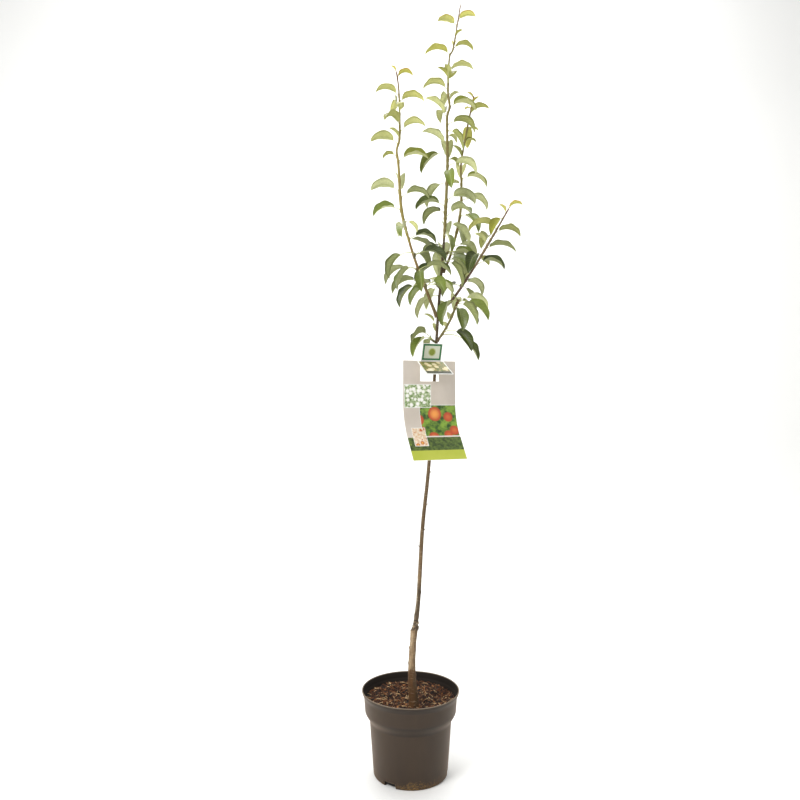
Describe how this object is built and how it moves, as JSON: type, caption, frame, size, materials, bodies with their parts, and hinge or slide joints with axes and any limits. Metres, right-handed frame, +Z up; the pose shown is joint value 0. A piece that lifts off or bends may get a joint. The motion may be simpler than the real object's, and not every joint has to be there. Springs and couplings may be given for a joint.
{
  "type": "potted fruit tree",
  "caption": "Young grafted fruit tree with upright leafy shoots in a round plastic nursery pot of compost, with a printed hang label on its trunk.",
  "frame": {"origin": "on the ground under the middle of the pot", "axes": "+Z up along the trunk, -Y to the front, where the label faces, +X to the right seen from the front"},
  "size_m": [0.3232, 0.2111, 1.5761],
  "materials": {
    "pot": "grained dark plastic",
    "soil": "loose coir and bark",
    "label": "smooth printed card",
    "label_strap": "plain band",
    "trunk": "bark",
    "left_bough": "bark",
    "back_bough": "bark",
    "right_bough": "bark",
    "low_bough": "bark",
    "leader_shoot": "leaves",
    "left_shoot": "leaves",
    "back_shoot": "leaves",
    "right_shoot": "leaves",
    "low_shoot": "leaves",
    "left_spur_high": "leaves",
    "left_spur_low": "leaves",
    "left_spur_foot": "leaves",
    "right_spur": "leaves",
    "crown_spur_front": "leaves",
    "crown_spur_right": "leaves",
    "crown_spur_back": "leaves",
    "middle_spur_left": "leaves",
    "middle_spur_right": "leaves",
    "collar_spur_left": "leaves",
    "collar_spur_right": "leaves"
  },
  "bodies": {
    "root": {"pot": "pot", "soil": "soil", "trunk": "trunk", "left_bough": "left_bough", "back_bough": "back_bough", "right_bough": "right_bough", "low_bough": "low_bough", "label": "label", "label_strap": "label_strap", "leader_shoot": "leader_shoot", "left_shoot": "left_shoot", "back_shoot": "back_shoot", "right_shoot": "right_shoot", "low_shoot": "low_shoot", "left_spur_high": "left_spur_high", "left_spur_low": "left_spur_low", "left_spur_foot": "left_spur_foot", "right_spur": "right_spur", "crown_spur_front": "crown_spur_front", "crown_spur_right": "crown_spur_right", "crown_spur_back": "crown_spur_back", "middle_spur_left": "middle_spur_left", "middle_spur_right": "middle_spur_right", "collar_spur_left": "collar_spur_left", "collar_spur_right": "collar_spur_right"}
  },
  "joints": []
}
